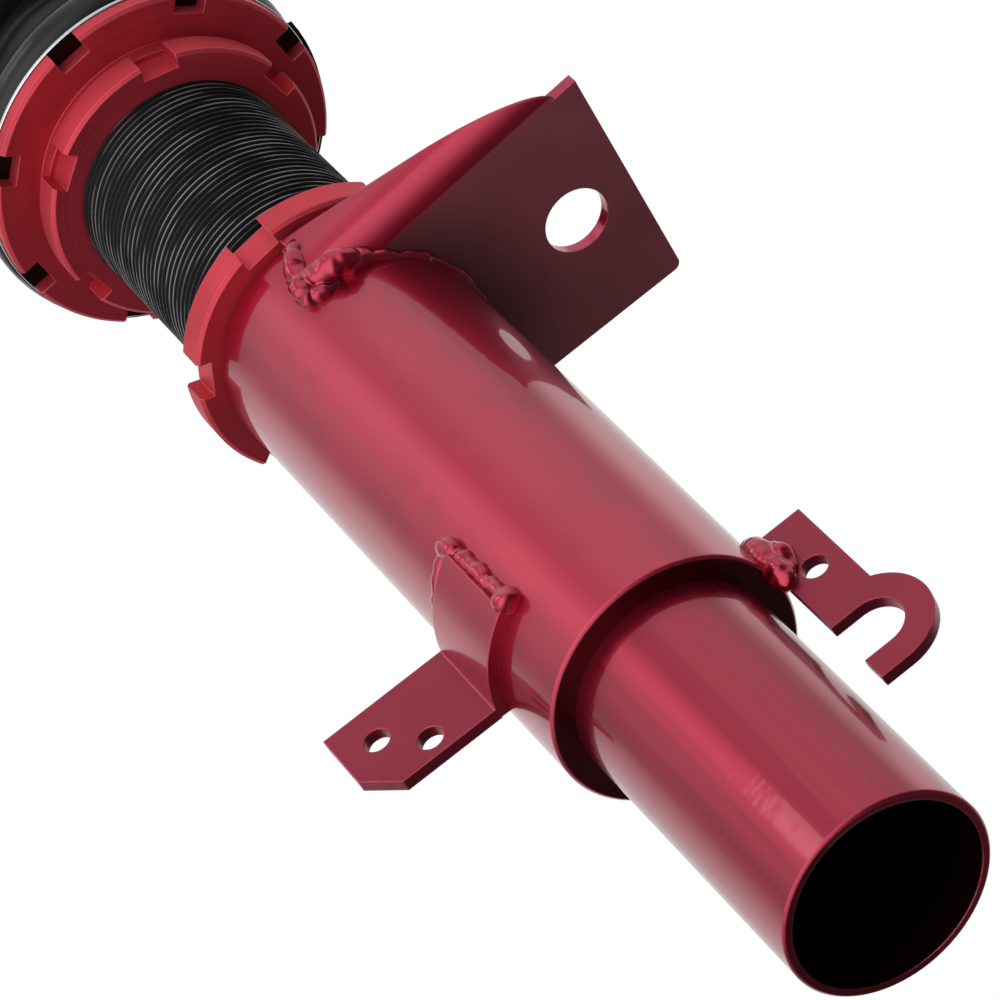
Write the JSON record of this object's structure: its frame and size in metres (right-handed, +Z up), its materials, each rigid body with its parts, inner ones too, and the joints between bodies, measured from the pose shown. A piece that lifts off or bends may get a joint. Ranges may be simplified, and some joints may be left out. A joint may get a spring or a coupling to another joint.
{
  "type": "strut coilover",
  "caption": "Height-adjustable strut coilover: knuckle sleeve with welded brackets, threaded damper body, locking rings, perch, coil spring and pillow-ball top mount.",
  "frame": {"origin": "centre of the open lower end of the knuckle spigot", "axes": "+Z up the strut towards the top mount, +X towards the link plate"},
  "size_m": [0.1479, 0.144, 0.6015],
  "materials": {
    "candy_red_paint": "gloss candy coat",
    "red_anodised": "satin anodised",
    "black_anodised": "satin anodised",
    "black_thread": "satin black",
    "spring_black": "gloss powder coat",
    "bright_steel": "ground",
    "zinc_steel": "zinc plated",
    "chrome_rod": "hard chrome",
    "black_rubber": "matt",
    "bump_foam": "microcellular",
    "bearing_bronze": "bronze",
    "ptfe": "filled"
  },
  "bodies": {
    "bracket": {"spigot_tube": "candy_red_paint", "bracket_sleeve": "candy_red_paint", "link_plate": "candy_red_paint", "abs_bracket": "candy_red_paint", "hose_hook_bracket": "candy_red_paint"},
    "lock_ring": {"bracket_lock_ring": "red_anodised"},
    "damper_body": {"threaded_body": "black_thread", "base_cap": "black_anodised", "base_cap_o_ring": "black_rubber", "gas_valve": "zinc_steel", "rod_guide": "black_anodised", "guide_bush": "bearing_bronze", "rod_seal": "black_rubber", "gland_nut": "black_anodised", "wiper_seal": "black_rubber"},
    "gas_piston": {"floating_piston": "black_anodised", "floating_piston_seal": "ptfe"},
    "perch": {"spring_perch": "red_anodised", "perch_washer": "bright_steel", "coil_spring": "spring_black"},
    "perch_ring": {"perch_lock_ring": "red_anodised"},
    "rod": {"piston_rod": "chrome_rod", "rebound_shims": "bright_steel", "piston": "black_anodised", "piston_band": "ptfe", "compression_shims": "bright_steel", "piston_nut": "zinc_steel", "bump_stop": "bump_foam", "dust_boot": "black_rubber", "lower_bearing_race": "bright_steel", "bearing_balls": "bright_steel", "bearing_cage": "bearing_bronze", "upper_bearing_race": "bright_steel", "upper_spring_seat": "red_anodised", "lower_spacer": "zinc_steel", "pillow_ball": "bright_steel", "upper_spacer": "zinc_steel", "rod_nut": "zinc_steel"},
    "knob": {"adjuster_needle": "zinc_steel", "adjuster_knob": "red_anodised"},
    "pillow_housing": {"camber_block": "black_anodised", "pillow_race": "bright_steel", "race_clip": "zinc_steel", "clamp_screws": "zinc_steel", "clamp_washers": "zinc_steel"},
    "top_mount": {"top_plate": "red_anodised", "mounting_studs": "zinc_steel"}
  },
  "joints": [
    {"name": "ring_backoff", "type": "slide", "parent": "bracket", "child": "lock_ring", "axis": [0, 0, 1], "range_m": [0, 0.01]},
    {"name": "ride_height", "type": "slide", "parent": "bracket", "child": "damper_body", "axis": [0, 0, 1], "range_m": [-0.025, 0.045]},
    {"name": "gas_travel", "type": "slide", "parent": "damper_body", "child": "gas_piston", "axis": [0, 0, 1], "range_m": [-0.024, 0.001]},
    {"name": "spring_preload", "type": "slide", "parent": "damper_body", "child": "perch", "axis": [0, 0, 1], "range_m": [-0.02, 0]},
    {"name": "perch_ring_backoff", "type": "slide", "parent": "perch", "child": "perch_ring", "axis": [0, 0, 1], "range_m": [-0.008, 0]},
    {"name": "rod_stroke", "type": "slide", "parent": "damper_body", "child": "rod", "axis": [0, 0, 1], "range_m": [-0.1, 0], "stiffness_N_per_m": 60000, "springref_m": 0.004, "deforming": ["coil_spring", "dust_boot"]},
    {"name": "knob_turn", "type": "hinge", "parent": "rod", "child": "knob", "pos_m": [0, 0, 0.5845], "axis": [0, 0, 1], "range_deg": [-330, 0]},
    {"name": "pillow_swivel", "type": "hinge", "parent": "rod", "child": "pillow_housing", "pos_m": [0, 0, 0.552], "axis": [0, 0, 1], "continuous": true},
    {"name": "camber_slide", "type": "slide", "parent": "pillow_housing", "child": "top_mount", "axis": [1, 0, 0], "range_m": [-0.01, 0.01]}
  ],
  "couplings": [
    {"joint": "gas_travel", "follows": "rod_stroke", "ratio": 0.2287}
  ]
}
